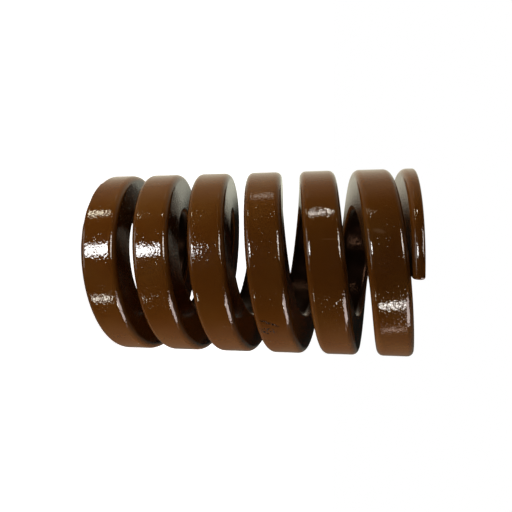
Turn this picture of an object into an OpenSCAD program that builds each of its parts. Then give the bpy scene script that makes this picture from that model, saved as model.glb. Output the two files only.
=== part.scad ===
// Compression spring coiled right-hand from rectangular wire, with closed and ground ends.
// It stands on its ground bottom end: z = 0 is the bottom face, +Z runs along the spring axis.

/* [Body] */
// Free length between the two ground end faces
free_length = 100; // [90:1:120]
// Outside diameter of the coil
outer_d = 60; // [54:0.5:66]
// Diameter of the hole through the coil
inner_d = 33.5; // [28:0.5:38]

/* [Wire] */
// Wire size along the axis
wire_h = 11.2; // [9:0.1:11.6]
// Rounding of the four long edges of the wire
edge_r = 2; // [1:0.1:2.4]

/* [Winding] */
// Turns from tip to tip
turns = 6.75; // [6.4:0.05:7]
// Turns over which the pitch closes up towards the bottom tip
bottom_closing = 1.1; // [0.8:0.05:1.3]
// Turns over which the pitch closes up towards the top tip
top_closing = 0.75; // [0.65:0.05:1.3]
// Gap between the bottom tip and the coil above it
bottom_gap = 1.2; // [0.2:0.1:3]
// Gap between the top tip and the coil below it
top_gap = 0.2; // [0.2:0.1:3]
// Direction of the top tip around the axis
tip_angle = 280; // [180:5:355]

/* [Ends] */
// Wire left at the bottom tip after the grinding
bottom_tip = 3.2; // [2:0.1:4]
// Wire left at the top tip after the grinding
top_tip = 3.3; // [2:0.1:4]
// Chamfer around the edges of both tips
tip_chamfer = 0.8; // [0.5:0.1:1.2]

/* [Hidden] */
wall_fn = 180;
ring_steps = 48;
corner_steps = 3;
outer_r = outer_d / 2;
inner_r = inner_d / 2;
// share of the pitch change that falls in the turn beside a tip, and the height it costs
function share(c) = c > 1 ? 1 - 1 / (2 * c) : c / 2;
function cost(c) = c / (2 * share(c));
// rise of the wire's centre line from tip to tip, and the pitch that gives it
rise = free_length - bottom_tip - top_tip + wire_h;
first_turn = wire_h + bottom_gap;
last_turn = wire_h + top_gap;
bottom_cost = cost(bottom_closing);
top_cost = cost(top_closing);
pitch = (rise - first_turn * bottom_cost - last_turn * top_cost) / (turns - bottom_cost - top_cost);
bottom_drop = (pitch - first_turn) / share(bottom_closing);
top_drop = (pitch - last_turn) / share(top_closing);
bottom_z = bottom_tip - wire_h / 2;
steps = round(turns * ring_steps);
// the swept wire stands this much proud of both walls, which are then cut true
proud = 0.16;
// how far the cutting shapes reach past the spring
over = 30;

// height that closing up takes off over the last c turns, n turns from the tip
function lost(n, c, drop) = n < c ? drop * (c - n) * (c - n) / (2 * c) : 0;
// height of the wire's centre line after n turns from the bottom tip
function wire_z(n) = bottom_z + pitch * n
    - lost(0, bottom_closing, bottom_drop) + lost(n, bottom_closing, bottom_drop)
    - lost(turns - n, top_closing, top_drop);

// one rounded corner of the wire section as [radius, height] points
function corner(cr, cz, a0) = [for (i = [0 : corner_steps])
    let (a = a0 + 90 * i / corner_steps)
    [cr + edge_r * cos(a), cz + edge_r * sin(a)]];
// the whole section, drawn in by an inset
function section(inset) = let (
    out = outer_r + proud - inset - edge_r,
    in = inner_r - proud + inset + edge_r,
    top = wire_h / 2 - inset - edge_r)
    concat(corner(out, top, 0), corner(in, top, 90), corner(in, -top, 180), corner(out, -top, 270));
sides = len(section(0));

// one ring of the swept wire, n turns from the bottom tip
function ring(n, inset) = let (a = tip_angle - 360 * (turns - n), z = wire_z(n))
    [for (s = section(inset)) [s[0] * cos(a), s[0] * sin(a), z + s[1]]];
// the rings: evenly spaced, with one drawn in at each tip to break its edges
tip_turn = tip_chamfer / (PI * (outer_r + inner_r));
places = concat([0], [for (i = [0 : steps]) tip_turn + (turns - 2 * tip_turn) * i / steps], [turns]);
rings = len(places) - 1;

module swept_wire() {
    points = [for (i = [0 : rings])
        each ring(places[i], i == 0 || i == rings ? tip_chamfer : 0)];
    skin = [for (i = [0 : rings - 1], j = [0 : sides - 1])
        let (k = (j + 1) % sides, a = i * sides, b = a + sides)
        each [[a + j, b + j, a + k], [a + k, b + j, b + k]]];
    foot = [for (j = [0 : sides - 1]) j];
    head = [for (j = [0 : sides - 1]) rings * sides + sides - 1 - j];
    polyhedron(points = points, faces = concat(skin, [foot, head]), convexity = 12);
}

// round bar along the spring axis that reaches past both ends
module bar(r) {
    translate([0, 0, -over]) cylinder(r = r, h = free_length + 2 * over, $fn = wall_fn);
}

// what the grinding takes off an end, upwards from height z
module ground_off(z) {
    w = 2 * outer_d;
    translate([-w / 2, -w / 2, z]) cube([w, w, over]);
}

module coil_spring() {
    color([0.27, 0.15, 0.06])
    difference() {
        intersection() {
            difference() {
                swept_wire();
                bar(inner_r);
            }
            bar(outer_r);
        }
        ground_off(-over);
        ground_off(free_length);
    }
}

coil_spring();
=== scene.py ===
import bmesh
import bpy
import math
from mathutils import Matrix, Vector


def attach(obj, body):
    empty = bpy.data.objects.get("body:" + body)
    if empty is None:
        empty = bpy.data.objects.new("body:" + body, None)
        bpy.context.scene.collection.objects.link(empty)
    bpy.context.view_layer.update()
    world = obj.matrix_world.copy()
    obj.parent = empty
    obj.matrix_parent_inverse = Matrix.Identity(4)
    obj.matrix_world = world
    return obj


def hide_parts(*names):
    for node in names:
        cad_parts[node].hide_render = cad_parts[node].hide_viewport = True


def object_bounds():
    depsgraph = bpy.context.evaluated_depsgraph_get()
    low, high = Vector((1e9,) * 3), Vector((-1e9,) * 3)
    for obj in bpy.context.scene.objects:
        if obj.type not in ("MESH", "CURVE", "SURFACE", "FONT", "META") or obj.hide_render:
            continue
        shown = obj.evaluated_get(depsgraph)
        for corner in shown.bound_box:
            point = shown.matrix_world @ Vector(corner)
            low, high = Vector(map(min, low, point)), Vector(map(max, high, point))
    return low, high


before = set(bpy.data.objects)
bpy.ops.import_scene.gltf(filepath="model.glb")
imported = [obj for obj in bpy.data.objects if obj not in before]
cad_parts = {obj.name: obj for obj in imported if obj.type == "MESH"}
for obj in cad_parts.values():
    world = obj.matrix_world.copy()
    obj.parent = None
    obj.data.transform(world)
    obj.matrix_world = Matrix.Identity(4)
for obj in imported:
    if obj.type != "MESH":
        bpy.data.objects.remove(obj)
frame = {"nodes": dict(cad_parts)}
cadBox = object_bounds()
boxLow, boxHigh = cadBox
scene = bpy.context.scene
scene.view_settings.view_transform = "Standard"
print("frame loaded:", ", ".join(frame["nodes"]))


def addNode(tree, kind, spot, **settings):
    node = tree.nodes.new(kind)
    node.location = spot
    for name, value in settings.items():
        setattr(node, name, value)
    return node


# a socket is linked, anything else is set as the input's own value
def plug(tree, source, target):
    if isinstance(source, bpy.types.NodeSocket):
        tree.links.new(source, target)
    else:
        target.default_value = source


def calc(tree, operation, spot, *values):
    node = addNode(tree, "ShaderNodeMath", spot, operation=operation)
    for value, target in zip(values, node.inputs):
        plug(tree, value, target)
    return node.outputs[0]


# the wound wire, in metres and turns; its length and its outside are the frame's
coil = {
    "freeLength": round(boxHigh.z - boxLow.z, 5),
    "outerRadius": round((boxHigh.x - boxLow.x) / 2, 5),
    "boreRadius": 0.01675,
    "wireHeight": 0.0112,
    "edgeRadius": 0.0020,
    "turns": 6.75,
    "bottomClosing": 1.1,      # turns over which the pitch closes up
    "topClosing": 0.75,
    "bottomGap": 0.0012,       # between a tip and the coil beside it
    "topGap": 0.0002,
    "bottomTip": 0.0032,       # wire that the grinding leaves at a tip
    "topTip": 0.0033,
    "tipAngle": math.radians(280),
    "ringsPerTurn": 120,
    "cornerSteps": 6,
    "groundWeld": 0.00002,
    "groundSlack": 0.000001,
    "weld": 0.00001,
    "rimBreak": 0.0007,
    "rimSteps": 3,
    "keenAngle": math.radians(84),
    "sharpAngle": math.radians(35),
    "flatWeight": 90,
}


# share of the pitch change that falls in the turn beside a tip
def closingShare(closing):
    return 1 - 1 / (2 * closing) if closing > 1 else closing / 2


# pitch of the free turns, the drop in pitch at each end, and where the centre line starts
def windingNumbers(size):
    rise = size["freeLength"] - size["bottomTip"] - size["topTip"] + size["wireHeight"]
    share = {}
    endPitch = {}
    closedRise = 0
    closedTurns = 0
    for end in ("bottom", "top"):
        closing = size[end + "Closing"]
        share[end] = closingShare(closing)
        endPitch[end] = size["wireHeight"] + size[end + "Gap"]
        cost = closing / (2 * share[end])
        closedRise += endPitch[end] * cost
        closedTurns += cost
    pitch = (rise - closedRise) / (size["turns"] - closedTurns)
    drops = {end: (pitch - endPitch[end]) / share[end] for end in share}
    startHeight = size["bottomTip"] - size["wireHeight"] / 2 - drops["bottom"] * size["bottomClosing"] / 2
    return pitch, drops, startHeight


def coilTree():
    tree = bpy.data.node_groups.new("coilWinding", "GeometryNodeTree")
    sockets = tree.interface
    sockets.new_socket("Geometry", in_out="INPUT", socket_type="NodeSocketGeometry")
    for name in ("Turns", "Mean Radius", "Wire Width", "Wire Height", "Edge Radius", "Pitch",
                 "Start Height", "Bottom Closing", "Bottom Drop", "Top Closing", "Top Drop",
                 "Tip Angle", "Free Length", "Ground Weld"):
        sockets.new_socket(name, in_out="INPUT", socket_type="NodeSocketFloat")
    for name in ("Rings", "Corner Steps"):
        sockets.new_socket(name, in_out="INPUT", socket_type="NodeSocketInt")
    sockets.new_socket("Enamel", in_out="INPUT", socket_type="NodeSocketMaterial")
    sockets.new_socket("Geometry", in_out="OUTPUT", socket_type="NodeSocketGeometry")
    given = addNode(tree, "NodeGroupInput", (-1400, 0)).outputs

    # centre line: turns counted from the bottom tip, height with both ends closing up
    line = addNode(tree, "GeometryNodeCurvePrimitiveLine", (-900, 500))
    rings = addNode(tree, "GeometryNodeResampleCurve", (-700, 500))
    plug(tree, line.outputs["Curve"], rings.inputs["Curve"])
    plug(tree, given["Rings"], rings.inputs["Count"])
    along = addNode(tree, "GeometryNodeSplineParameter", (-1400, 300)).outputs["Factor"]
    turn = calc(tree, "MULTIPLY", (-1200, 300), along, given["Turns"])
    toGo = calc(tree, "SUBTRACT", (-1200, 150), given["Turns"], turn)

    def closingHeight(left, closing, drop, y):
        short = calc(tree, "SUBTRACT", (-1100, y), closing, left)
        short = calc(tree, "MAXIMUM", (-1000, y), short, 0.0)
        square = calc(tree, "MULTIPLY", (-900, y), short, short)
        scaled = calc(tree, "MULTIPLY", (-800, y), square, drop)
        twice = calc(tree, "MULTIPLY", (-800, y - 60), closing, 2.0)
        return calc(tree, "DIVIDE", (-700, y), scaled, twice)

    low = closingHeight(turn, given["Bottom Closing"], given["Bottom Drop"], 0)
    high = closingHeight(toGo, given["Top Closing"], given["Top Drop"], -200)
    climb = calc(tree, "MULTIPLY_ADD", (-600, 150), turn, given["Pitch"], given["Start Height"])
    height = calc(tree, "ADD", (-500, 100), climb, low)
    height = calc(tree, "SUBTRACT", (-400, 100), height, high)
    back = calc(tree, "MULTIPLY", (-1000, 300), toGo, 2 * math.pi)
    angle = calc(tree, "SUBTRACT", (-900, 300), given["Tip Angle"], back)
    cosine = calc(tree, "COSINE", (-700, 350), angle)
    sine = calc(tree, "SINE", (-700, 250), angle)
    spot = addNode(tree, "ShaderNodeCombineXYZ", (-300, 250))
    plug(tree, calc(tree, "MULTIPLY", (-600, 350), cosine, given["Mean Radius"]), spot.inputs["X"])
    plug(tree, calc(tree, "MULTIPLY", (-600, 250), sine, given["Mean Radius"]), spot.inputs["Y"])
    plug(tree, height, spot.inputs["Z"])
    wound = addNode(tree, "GeometryNodeSetPosition", (-100, 450))
    plug(tree, rings.outputs["Curve"], wound.inputs["Geometry"])
    plug(tree, spot.outputs["Vector"], wound.inputs["Position"])
    upright = addNode(tree, "GeometryNodeSetCurveNormal", (80, 450), mode="Z_UP")
    plug(tree, wound.outputs["Geometry"], upright.inputs["Curve"])

    # wire section: a rectangle with rounded edges
    oblong = addNode(tree, "GeometryNodeCurvePrimitiveQuadrilateral", (-300, -100))
    plug(tree, given["Wire Width"], oblong.inputs["Width"])
    plug(tree, given["Wire Height"], oblong.inputs["Height"])
    rounded = addNode(tree, "GeometryNodeFilletCurve", (-100, -100), mode="POLY")
    plug(tree, oblong.outputs["Curve"], rounded.inputs["Curve"])
    plug(tree, given["Corner Steps"], rounded.inputs["Count"])
    plug(tree, given["Edge Radius"], rounded.inputs["Radius"])
    wire = addNode(tree, "GeometryNodeCurveToMesh", (260, 300))
    plug(tree, upright.outputs["Curve"], wire.inputs["Curve"])
    plug(tree, rounded.outputs["Curve"], wire.inputs["Profile Curve"])
    plug(tree, True, wire.inputs["Fill Caps"])

    # grinding: whatever stands past an end is brought to its plane
    here = addNode(tree, "GeometryNodeInputPosition", (260, 0))
    parts = addNode(tree, "ShaderNodeSeparateXYZ", (420, 0))
    plug(tree, here.outputs["Position"], parts.inputs["Vector"])
    level = addNode(tree, "ShaderNodeClamp", (580, -50))
    plug(tree, parts.outputs["Z"], level.inputs["Value"])
    plug(tree, 0.0, level.inputs["Min"])
    plug(tree, given["Free Length"], level.inputs["Max"])
    flat = addNode(tree, "ShaderNodeCombineXYZ", (740, 0))
    plug(tree, parts.outputs["X"], flat.inputs["X"])
    plug(tree, parts.outputs["Y"], flat.inputs["Y"])
    plug(tree, level.outputs["Result"], flat.inputs["Z"])
    ground = addNode(tree, "GeometryNodeSetPosition", (740, 300))
    plug(tree, wire.outputs["Mesh"], ground.inputs["Geometry"])
    plug(tree, flat.outputs["Vector"], ground.inputs["Position"])
    merged = addNode(tree, "GeometryNodeMergeByDistance", (900, 300))
    plug(tree, ground.outputs["Geometry"], merged.inputs["Geometry"])
    plug(tree, given["Ground Weld"], merged.inputs["Distance"])
    real = addNode(tree, "GeometryNodeRealizeInstances", (1060, 300))
    plug(tree, merged.outputs["Geometry"], real.inputs["Geometry"])
    painted = addNode(tree, "GeometryNodeSetMaterial", (1220, 300))
    plug(tree, real.outputs["Geometry"], painted.inputs["Geometry"])
    plug(tree, given["Enamel"], painted.inputs["Material"])
    out = addNode(tree, "NodeGroupOutput", (1400, 300))
    plug(tree, painted.outputs["Geometry"], out.inputs["Geometry"])
    return tree


# runs the winding tree once and keeps what it makes as a plain mesh
def windCoil(material):
    pitch, drops, startHeight = windingNumbers(coil)
    tree = coilTree()
    values = {
        "Turns": coil["turns"],
        "Mean Radius": (coil["outerRadius"] + coil["boreRadius"]) / 2,
        "Wire Width": coil["outerRadius"] - coil["boreRadius"],
        "Wire Height": coil["wireHeight"],
        "Edge Radius": coil["edgeRadius"],
        "Pitch": pitch,
        "Start Height": startHeight,
        "Bottom Closing": coil["bottomClosing"],
        "Bottom Drop": drops["bottom"],
        "Top Closing": coil["topClosing"],
        "Top Drop": drops["top"],
        "Tip Angle": coil["tipAngle"],
        "Free Length": coil["freeLength"],
        "Ground Weld": coil["groundWeld"],
        "Rings": round(coil["turns"] * coil["ringsPerTurn"]) + 1,
        "Corner Steps": coil["cornerSteps"],
        "Enamel": material,
    }
    host = bpy.data.objects.new("coilHost", bpy.data.meshes.new("coilHost"))
    scene.collection.objects.link(host)
    winding = host.modifiers.new("winding", "NODES")
    winding.node_group = tree
    for item in tree.interface.items_tree:
        if item.in_out == "INPUT" and item.name in values:
            winding[item.identifier] = values[item.name]
    shaped = host.evaluated_get(bpy.context.evaluated_depsgraph_get())
    mesh = bpy.data.meshes.new_from_object(shaped)
    host.modifiers.remove(winding)
    bpy.data.objects.remove(host)
    print("wire wound: pitch", round(pitch * 1000, 2), "mm")
    return mesh


# each ground end becomes one face, then the square edges of the tips and the ground rims are broken
def breakRims(mesh):
    work = bmesh.new()
    work.from_mesh(mesh)
    bmesh.ops.dissolve_degenerate(work, edges=work.edges, dist=coil["weld"])
    bmesh.ops.recalc_face_normals(work, faces=work.faces)
    for level in (0, coil["freeLength"]):
        ground = [face for face in work.faces
                  if all(abs(vert.co.z - level) < coil["groundSlack"] for vert in face.verts)]
        bmesh.ops.dissolve_faces(work, faces=ground, use_verts=True)
    keen = [edge for edge in work.edges
            if edge.is_manifold and edge.calc_face_angle() > coil["keenAngle"]]
    bmesh.ops.bevel(work, geom=keen, offset=coil["rimBreak"], segments=coil["rimSteps"], profile=0.5,
                    affect="EDGES", clamp_overlap=False)
    bmesh.ops.dissolve_degenerate(work, edges=work.edges, dist=coil["weld"])
    work.to_mesh(mesh)
    work.free()
    print("rims broken:", len(keen), "edges")


# the broad faces set the shading, so the walls read flat beside their rounded edges
def evenShading(piece):
    mesh = piece.data
    mesh.polygons.foreach_set("use_smooth", [True] * len(mesh.polygons))
    mesh.set_sharp_from_angle(angle=coil["sharpAngle"])
    even = piece.modifiers.new("evenShade", "WEIGHTED_NORMAL")
    even.weight = coil["flatWeight"]
    even.keep_sharp = True
    shaded = piece.evaluated_get(bpy.context.evaluated_depsgraph_get())
    piece.data = bpy.data.meshes.new_from_object(shaded)
    piece.modifiers.remove(even)
    bpy.data.meshes.remove(mesh)


def buildCoil(material):
    mesh = windCoil(material)
    breakRims(mesh)
    piece = bpy.data.objects.new("springCoil", mesh)
    scene.collection.objects.link(piece)
    evenShading(piece)
    piece.data.name = "springCoil"
    print("coil finished:", len(piece.data.polygons), "faces")
    return piece


# brown gloss enamel: sprayed thick, with orange peel, dust under the coat and a chipped patch; the bore
# gets painted shade
enamelLook = {
    "brown": (0.086, 0.0255, 0.0030, 1),
    "thinBrown": (0.095, 0.0325, 0.0050, 1),
    # painted shade: the near-black colour of the bore's hollow inside
    "boreShadeBrown": (0.012, 0.0055, 0.0025, 1),
    "chipGrime": (0.009, 0.004, 0.002, 1),
    "scuff": (0.17, 0.085, 0.038, 1),
    "scuffStrength": 0.55,
    "driftScale": 70,
    "driftCut": (0.42, 0.72),
    "patchScale": 180,
    "patchCut": (0.35, 0.75),
    "roughness": (0.03, 0.08),
    # the bore's painted shade, a near-black colour for its hollow inside, full at the first distance from
    # the axis and gone at the second
    "boreShadeRange": (0.0169, 0.0182),
    "boreShadeShare": 0.85,
    "boreDull": 0.3,
    # relief, in parts of its depth in metres
    "reliefDepth": 0.00004,
    "waveScale": 260,
    "peelScale": 1500,
    "peelHeight": 1.25,
    "nibScale": 1300,
    "nibDome": (0.05, 0.32),
    "nibPick": 0.50,
    "nibHeight": 0.6,
    "chipHeight": -1.0,
    "chipScale": 1500,
    "chainCut": (0.47, 0.53),
    "scatterCut": (0.53, 0.58),
    # marks on the wall: centre, turn about the radius and the axis in degrees, half sizes
    "chipChain": ((0.0182, -0.0239, 0.0569), (23, 37), (0.0007, 0.0020, 0.0046)),
    "chipScatter": ((0.0206, -0.0218, 0.0562), (8, 43), (0.0022, 0.0020, 0.0034)),
    "smear": ((-0.0083, -0.0288, 0.0878), (12, -16), (0.0009, 0.0020, 0.0024)),
    "scratch": ((-0.0061, -0.0294, 0.0744), (0, -12), (0.0002, 0.0020, 0.0030)),
    "markFade": (0.3, 1.0),
}


def noise(tree, spot, vector, scale, detail):
    node = addNode(tree, "ShaderNodeTexNoise", spot)
    plug(tree, vector, node.inputs["Vector"])
    plug(tree, scale, node.inputs["Scale"])
    plug(tree, detail, node.inputs["Detail"])
    return node.outputs["Fac"]


def ramp(tree, spot, value, low, high, toLow=0.0, toHigh=1.0):
    node = addNode(tree, "ShaderNodeMapRange", spot, interpolation_type="SMOOTHSTEP")
    for name, setting in (("Value", value), ("From Min", low), ("From Max", high),
                          ("To Min", toLow), ("To Max", toHigh)):
        plug(tree, setting, node.inputs[name])
    return node.outputs["Result"]


def mixColour(tree, spot, share, first, second):
    node = addNode(tree, "ShaderNodeMix", spot, data_type="RGBA")
    plug(tree, share, node.inputs["Factor"])
    colours = [socket for socket in node.inputs if socket.type == "RGBA"]
    plug(tree, first, colours[0])
    plug(tree, second, colours[1])
    return [socket for socket in node.outputs if socket.type == "RGBA"][0]


# 1 at the middle of an ellipsoid that lies on the wall, 0 outside it
def markMask(tree, spot, here, mark):
    centre, (lean, around), reach = mark
    place = addNode(tree, "ShaderNodeMapping", spot, vector_type="TEXTURE")
    plug(tree, centre, place.inputs["Location"])
    plug(tree, (0, math.radians(lean), math.radians(around)), place.inputs["Rotation"])
    plug(tree, reach, place.inputs["Scale"])
    plug(tree, here, place.inputs["Vector"])
    far = addNode(tree, "ShaderNodeVectorMath", (spot[0] + 200, spot[1]), operation="LENGTH")
    plug(tree, place.outputs["Vector"], far.inputs[0])
    return ramp(tree, (spot[0] + 400, spot[1]), far.outputs["Value"], *enamelLook["markFade"], 1.0, 0.0)


def enamelMaterial():
    look = enamelLook
    material = bpy.data.materials.new("brownEnamel")
    material.use_nodes = True
    tree = material.node_tree
    shader = tree.nodes["Principled BSDF"]
    here = addNode(tree, "ShaderNodeTexCoord", (-2200, 0)).outputs["Object"]

    # the distance from the spring axis tells the bore from the rest
    level = addNode(tree, "ShaderNodeVectorMath", (-2000, 600), operation="MULTIPLY")
    plug(tree, here, level.inputs[0])
    plug(tree, (1, 1, 0), level.inputs[1])
    radius = addNode(tree, "ShaderNodeVectorMath", (-1800, 600), operation="LENGTH")
    plug(tree, level.outputs["Vector"], radius.inputs[0])
    # mask of the bore's painted shade
    boreShade = ramp(tree, (-1600, 600), radius.outputs["Value"], *look["boreShadeRange"], look["boreShadeShare"], 0.0)

    # chips and scuffs: each mark's place, broken up by fine flakes where it is chipped
    def mark(name, y):
        return markMask(tree, (-1800, y), here, look[name])

    flake = noise(tree, (-1800, -500), here, look["chipScale"], 1)
    chainFlake = ramp(tree, (-1400, -500), flake, *look["chainCut"])
    scatterFlake = ramp(tree, (-1400, -600), flake, *look["scatterCut"])
    chain = calc(tree, "MULTIPLY", (-1000, -300), mark("chipChain", -300), chainFlake)
    scatter = calc(tree, "MULTIPLY", (-1000, -500), mark("chipScatter", -700), scatterFlake)
    chips = calc(tree, "MAXIMUM", (-800, -400), chain, scatter)
    smear = calc(tree, "MULTIPLY", (-1000, -900), mark("smear", -900), look["scuffStrength"])
    scratch = calc(tree, "MULTIPLY", (-1000, -1100), mark("scratch", -1100), look["scuffStrength"])
    scuffs = calc(tree, "MAXIMUM", (-800, -1000), smear, scratch)

    # colour: slow drift between thick and thin coats, painted shade as a near-black colour in the bore,
    # then the marks
    drift = noise(tree, (-1600, 200), here, look["driftScale"], 3)
    thin = ramp(tree, (-1400, 200), drift, *look["driftCut"])
    colour = mixColour(tree, (-1200, 300), thin, look["brown"], look["thinBrown"])
    # painted shade: the bore is darkened toward near black
    colour = mixColour(tree, (-1000, 300), boreShade, colour, look["boreShadeBrown"])
    colour = mixColour(tree, (-800, 300), scuffs, colour, look["scuff"])
    colour = mixColour(tree, (-600, 300), chips, colour, look["chipGrime"])
    plug(tree, colour, shader.inputs["Base Color"])

    # gloss: wet-looking, a little duller in patches; the bore's painted shade is dull and metallic, so
    # its dark colour darkens its reflections too
    patches = noise(tree, (-1400, 0), here, look["patchScale"], 4)
    gloss = ramp(tree, (-1200, 0), patches, *look["patchCut"], *look["roughness"])
    dull = calc(tree, "MULTIPLY_ADD", (-800, 0), boreShade, look["boreDull"], gloss)
    plug(tree, dull, shader.inputs["Roughness"])
    plug(tree, boreShade, shader.inputs["Metallic"])

    # relief: long waves, orange peel, nibs of dust, sunken chips
    wave = noise(tree, (-1000, -1300), here, look["waveScale"], 1)
    peel = noise(tree, (-1000, -1500), here, look["peelScale"], 1.5)
    cells = addNode(tree, "ShaderNodeTexVoronoi", (-1400, -1700))
    plug(tree, here, cells.inputs["Vector"])
    plug(tree, look["nibScale"], cells.inputs["Scale"])
    dome = ramp(tree, (-1200, -1700), cells.outputs["Distance"], *look["nibDome"], 1.0, 0.0)
    pick = addNode(tree, "ShaderNodeSeparateColor", (-1200, -1900))
    plug(tree, cells.outputs["Color"], pick.inputs["Color"])
    chosen = calc(tree, "GREATER_THAN", (-1000, -1900), pick.outputs["Red"], look["nibPick"])
    nibs = calc(tree, "MULTIPLY", (-800, -1700), dome, chosen)
    height = calc(tree, "MULTIPLY_ADD", (-600, -1400), peel, look["peelHeight"], wave)
    height = calc(tree, "MULTIPLY_ADD", (-450, -1400), nibs, look["nibHeight"], height)
    height = calc(tree, "MULTIPLY_ADD", (-300, -1400), chips, look["chipHeight"], height)
    relief = addNode(tree, "ShaderNodeBump", (-150, -1400))
    plug(tree, 1.0, relief.inputs["Strength"])
    plug(tree, look["reliefDepth"], relief.inputs["Distance"])
    plug(tree, height, relief.inputs["Height"])
    plug(tree, relief.outputs["Normal"], shader.inputs["Normal"])
    print("enamel mixed:", len(tree.nodes), "nodes")
    return material


spring = buildCoil(enamelMaterial())
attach(spring, "root")
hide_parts("coil_spring")

# camera: turned on its side, so that the standing spring lies across the picture
view = {
    "place": (0.0015, -0.1726, 0.0790),
    "right": (-0.0041, 0.17235, 0.98503),
    "up": (-0.9998, -0.02041, -0.00059),
    "lens": 36.16,
    "sensor": 36,
    "nearest": 0.005,
}


def addCamera():
    data = bpy.data.cameras.new("photoCamera")
    data.sensor_width = view["sensor"]
    data.lens = view["lens"]
    data.clip_start = view["nearest"]
    right = Vector(view["right"]).normalized()
    back = right.cross(Vector(view["up"])).normalized()
    up = back.cross(right)
    turn = Matrix((right, up, back)).transposed()
    camera = bpy.data.objects.new("photoCamera", data)
    camera.matrix_world = Matrix.Translation(view["place"]) @ turn.to_4x4()
    scene.collection.objects.link(camera)
    scene.camera = camera
    print("camera placed: lens", view["lens"], "mm")


addCamera()

# pale floor, lifted to white for the camera alone, with the spring's shadow on it
floorLook = {
    "reach": 3.0,
    "pale": (0.85, 0.85, 0.85, 1),
    "roughness": 0.9,
    "cameraGlow": 0.98,
}


def whiteFloor():
    reach = floorLook["reach"]
    corners = [(-reach, -reach, 0), (reach, -reach, 0), (reach, reach, 0), (-reach, reach, 0)]
    mesh = bpy.data.meshes.new("floor")
    mesh.from_pydata(corners, [], [(0, 1, 2, 3)])
    floor = bpy.data.objects.new("floor", mesh)
    scene.collection.objects.link(floor)
    material = bpy.data.materials.new("paleFloor")
    material.use_nodes = True
    tree = material.node_tree
    shader = tree.nodes["Principled BSDF"]
    plug(tree, floorLook["pale"], shader.inputs["Base Color"])
    plug(tree, floorLook["roughness"], shader.inputs["Roughness"])
    plug(tree, (1, 1, 1, 1), shader.inputs["Emission Color"])
    path = addNode(tree, "ShaderNodeLightPath", (-500, -200))
    glow = calc(tree, "MULTIPLY", (-300, -200), path.outputs["Is Camera Ray"], floorLook["cameraGlow"])
    plug(tree, glow, shader.inputs["Emission Strength"])
    mesh.materials.append(material)
    # some lamps stand lower than the floor, so it neither blocks nor mirrors any light
    floor.visible_glossy = False
    floor.visible_shadow = False
    floor.visible_diffuse = False
    print("floor laid")


whiteFloor()

# surroundings: white where the camera looks, otherwise a bright back and a dark room in front
studio = {
    "ambient": 0.008,
    "skyGlow": 0.28,
    "backSkyGlow": 0.50,
    "lowGlow": 0.14,
    "glowTint": (1, 0.98, 0.80, 1),
    # where each glow sets in and where it is full, as parts of a direction of length 1
    "behindRange": (-0.35, 0.3),
    "skyRange": (0.08, 0.17),
    "farRange": (0.2, 0.8),
    "lowRange": (0.12, 0.30),
}


def studioWorld():
    world = bpy.data.worlds.new("studio")
    scene.world = world
    world.use_nodes = True
    tree = world.node_tree
    shade = tree.nodes["Background"]
    path = addNode(tree, "ShaderNodeLightPath", (-1100, 200)).outputs
    way = addNode(tree, "ShaderNodeTexCoord", (-1300, -400))
    parts = addNode(tree, "ShaderNodeSeparateXYZ", (-1100, -400))
    plug(tree, way.outputs["Generated"], parts.inputs["Vector"])
    down, away = parts.outputs["X"], parts.outputs["Y"]      # as the picture has them
    up = calc(tree, "MULTIPLY", (-900, -250), down, -1.0)
    behind = ramp(tree, (-700, -250), away, *studio["behindRange"])
    sky = calc(tree, "MULTIPLY", (-500, -250), ramp(tree, (-700, -400), up, *studio["skyRange"]), behind)
    fullSky = studio["skyGlow"] + studio["backSkyGlow"]
    far = ramp(tree, (-700, -550), away, *studio["farRange"], studio["skyGlow"], fullSky)
    under = ramp(tree, (-700, -700), down, *studio["lowRange"], 0.0, studio["lowGlow"])
    low = calc(tree, "MULTIPLY", (-500, -700), behind, under)
    back = calc(tree, "MULTIPLY_ADD", (-300, -400), sky, far, low)
    shiny = calc(tree, "MAXIMUM", (-700, 0), path["Is Glossy Ray"], path["Is Transmission Ray"])
    mirrored = calc(tree, "MULTIPLY_ADD", (-150, -200), shiny, back, studio["ambient"])
    level = calc(tree, "MAXIMUM", (0, 0), path["Is Camera Ray"], mirrored)
    plug(tree, level, shade.inputs["Strength"])
    tint = mixColour(tree, (0, 200), path["Is Camera Ray"], studio["glowTint"], (1, 1, 1, 1))
    plug(tree, tint, shade.inputs["Color"])
    print("surroundings set")


studioWorld()

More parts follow.
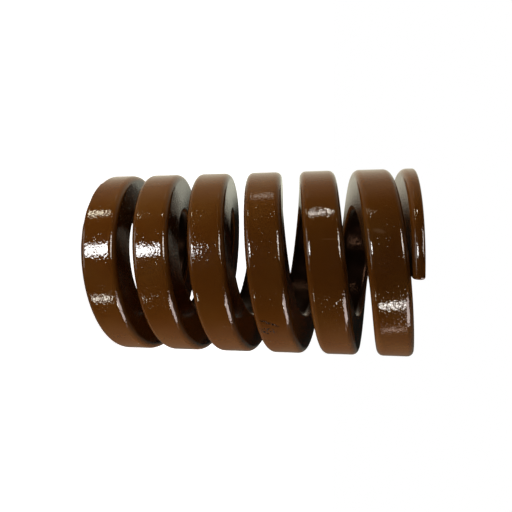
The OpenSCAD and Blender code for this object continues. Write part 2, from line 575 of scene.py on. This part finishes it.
# lamps: fills light the colour, shines are seen only as reflections in the gloss
# an area lamp's glow is the brightness of its face, whatever its size
lamps = {
    "windowLeft": {"use": "shine", "place": (-0.155, -0.647, -0.300), "face": (-0.003, -0.030, 0.015),
                   "size": (0.135, 0.19), "glow": 32, "tint": (1, 1, 1)},
    "lampAbove": {"use": "shine", "place": (-0.539, -0.317, 0.042), "face": (-0.014, -0.027, 0.072),
                  "size": (0.022, 0.037), "glow": 60, "tint": (1, 0.93, 0.82)},
    "lampAboveLeft": {"use": "shine", "place": (-0.497, -0.257, -0.275), "face": (-0.015, -0.026, 0.004),
                      "size": (0.045, 0.05), "glow": 24, "tint": (1, 0.92, 0.7)},
    "lampBelow": {"use": "shine", "place": (0.483, -0.396, 0.142), "face": (0.012, -0.027, 0.091),
                  "size": (0.065, 0.04), "glow": 44, "tint": (1, 0.95, 0.88)},
    "lampBelowLeft": {"use": "shine", "place": (0.417, -0.380, -0.268), "face": (0.012, -0.028, 0.006),
                      "size": (0.055, 0.05), "glow": 22, "tint": (1, 0.95, 0.82)},
    "lampOverhead": {"use": "shine", "place": (-0.610, -0.044, -0.042), "face": (-0.019, -0.023, 0.0545),
                     "size": (0.07, 0.037), "glow": 4, "tint": (1, 0.88, 0.74)},
    "lampUnder": {"use": "shine", "place": (0.613, -0.059, 0.143), "face": (0.019, -0.023, 0.092),
                  "size": (0.05, 0.038), "glow": 7, "tint": (1, 0.73, 0.62)},
    "windowRight": {"use": "shine", "place": (-0.263, -0.570, 0.410), "face": (0, -0.030, 0.050),
                    "size": (0.30, 0.20), "glow": 15, "tint": (1, 0.94, 0.88)},
    "cardLowRight": {"use": "shine", "place": (0.494, -0.280, 0.375), "face": (0, -0.020, 0.050),
                     "size": (0.38, 0.38), "glow": 9, "tint": (1, 0.86, 0.82)},
    "cardLeft": {"use": "shine", "place": (-0.100, -0.330, -0.480), "face": (0, -0.020, 0.050),
                 "size": (0.40, 0.16), "glow": 3, "tint": (1, 0.97, 0.90)},
    "fillTop": {"use": "fill", "place": (-0.530, 0.250, -0.060), "face": (0, -0.010, 0.040),
                "size": (0.55, 0.10), "glow": 62, "tint": (0.93, 1, 1)},
    "fillLow": {"use": "fill", "place": (0.530, 0.240, -0.060), "face": (0, -0.010, 0.040),
                "size": (0.55, 0.10), "glow": 58, "tint": (1, 1, 1)},
    "fillNear": {"use": "fill", "place": (-0.020, -0.122, -0.012), "face": (0, -0.030, 0.010),
                 "size": (0.08, 0.08), "glow": 3.9, "tint": (1, 1, 1)},
    "fillFront": {"use": "fill", "place": (-0.030, -0.600, 0.050), "face": (0, -0.030, 0.050),
                  "size": (0.30, 0.30), "glow": 1.9, "tint": (1, 1, 1)},
    "overhead": {"use": "fill", "place": (-0.25, -0.30, 0.80), "face": (0, 0, 0),
                 "spread": 25, "level": 0.06, "tint": (1, 1, 1)},
    "topLight": {"use": "fill", "place": (0, 0, 0.60), "face": (0, 0, 0.10),
                 "size": (0.14, 0.14), "glow": 22, "tint": (1, 1, 1)},
}


def addLamps():
    for name, lamp in lamps.items():
        if "size" in lamp:
            across, alongAxis = lamp["size"]
            data = bpy.data.lights.new(name, "AREA")
            data.shape = "RECTANGLE"
            data.size = across
            data.size_y = alongAxis
            data.energy = math.pi * across * alongAxis * lamp["glow"]
        else:
            data = bpy.data.lights.new(name, "SUN")
            data.angle = math.radians(lamp["spread"])
            data.energy = lamp["level"]
        data.color = lamp["tint"]
        holder = bpy.data.objects.new(name, data)
        holder.location = lamp["place"]
        away = Vector(lamp["place"]) - Vector(lamp["face"])
        holder.rotation_mode = "QUATERNION"
        holder.rotation_quaternion = away.to_track_quat("Z", "Y")
        holder.visible_camera = False
        holder.visible_diffuse = lamp["use"] == "fill"
        holder.visible_glossy = lamp["use"] == "shine"
        scene.collection.objects.link(holder)
    print("lamps placed:", len(lamps))


addLamps()
